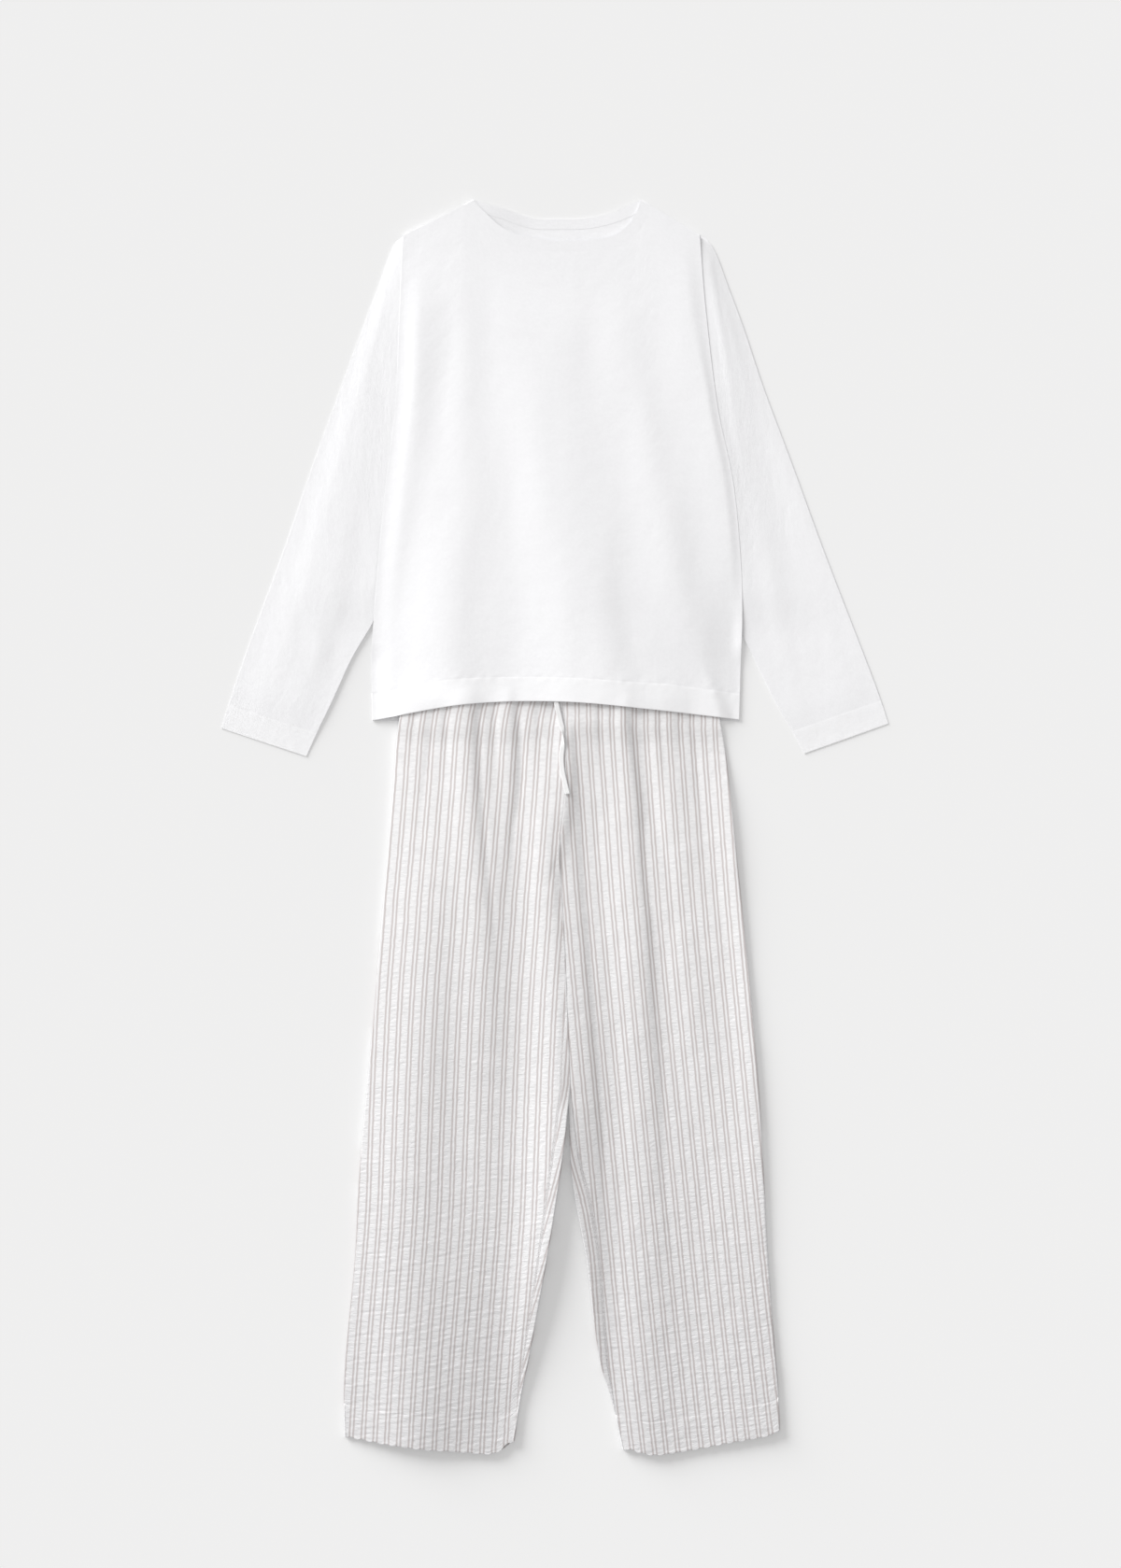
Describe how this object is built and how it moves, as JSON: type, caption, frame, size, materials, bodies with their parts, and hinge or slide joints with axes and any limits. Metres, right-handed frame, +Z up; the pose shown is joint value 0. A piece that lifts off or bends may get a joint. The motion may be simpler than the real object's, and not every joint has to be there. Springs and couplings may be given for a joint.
{
  "type": "pyjama set",
  "caption": "Pyjama set laid out flat: a white long-sleeved round-neck jersey top over wide, crinkled, pinstriped trousers with an elastic waist and a drawstring.",
  "frame": {"origin": "on the surface that the set lies on, under the middle of its outline", "axes": "+Y towards the neck, along the set's length; +X to the viewer's right, towards the sleeve on that side; +Z up, away from the surface"},
  "size_m": [0.7854, 1.4777, 0.0106],
  "materials": {
    "white_jersey": "matte white cotton single jersey",
    "striped_crinkle_cotton": "matte white crinkled cotton with pairs of taupe pinstripes",
    "white_tape": "matte white woven cotton tape"
  },
  "bodies": {
    "root": {"top_front": "white_jersey", "top_back": "white_jersey", "sleeve_left": "white_jersey", "sleeve_right": "white_jersey", "neckband": "white_jersey", "trouser_front_left": "striped_crinkle_cotton", "trouser_front_right": "striped_crinkle_cotton", "trouser_back_left": "striped_crinkle_cotton", "trouser_back_right": "striped_crinkle_cotton", "waistband": "striped_crinkle_cotton", "drawstring": "white_tape"}
  },
  "joints": []
}
